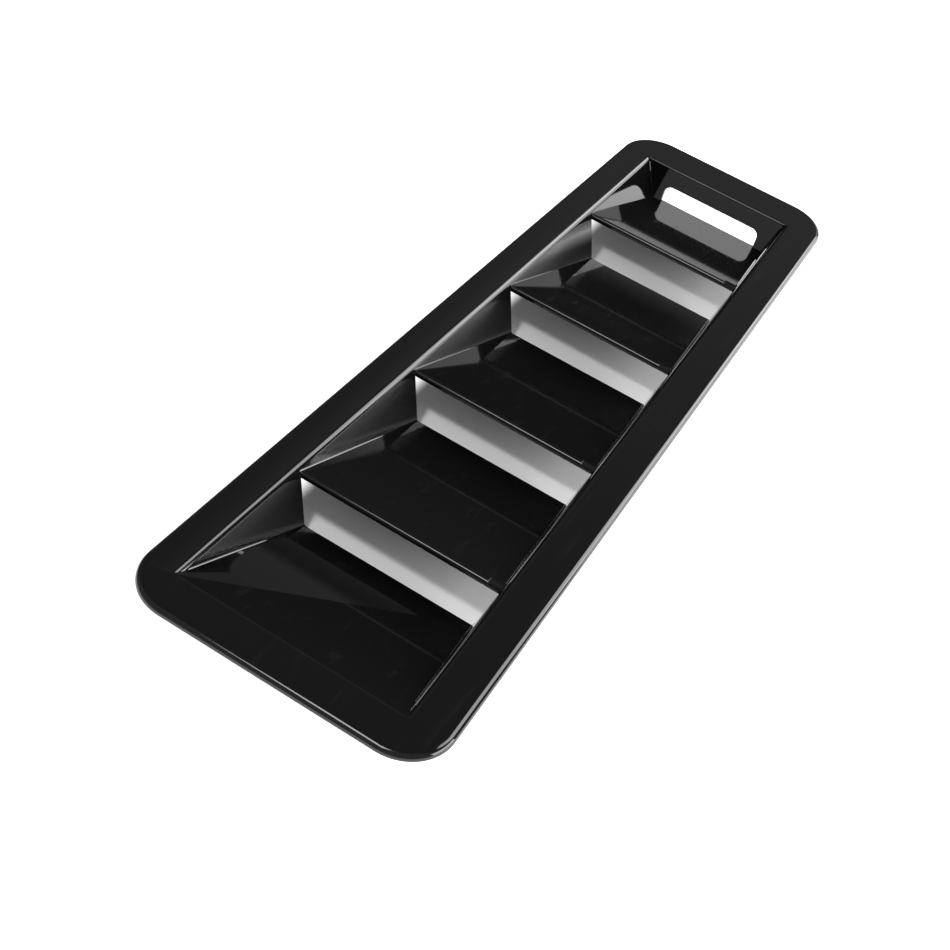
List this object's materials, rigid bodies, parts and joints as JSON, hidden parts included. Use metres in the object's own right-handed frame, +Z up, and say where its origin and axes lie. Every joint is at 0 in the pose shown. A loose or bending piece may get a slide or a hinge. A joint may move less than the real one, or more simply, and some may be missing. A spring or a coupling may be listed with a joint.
{
  "type": "bonnet scoop",
  "caption": "Flat tapered bonnet scoop panel with a rolled rim, sunken sloping louvres with upright windows between them, and a slotted end wall.",
  "frame": {"origin": "centre of the panel's box in plan, on the plane that the ramps' deep edges stand on", "axes": "+Y along the panel from the wide near end to the narrow slotted end, +Z up out of the flange's show face, +X to the right"},
  "size_m": [0.1262, 0.425, 0.0245],
  "materials": {
    "gloss_black": "high gloss moulded black"
  },
  "bodies": {
    "root": {"vent_panel": "gloss_black"}
  },
  "joints": []
}
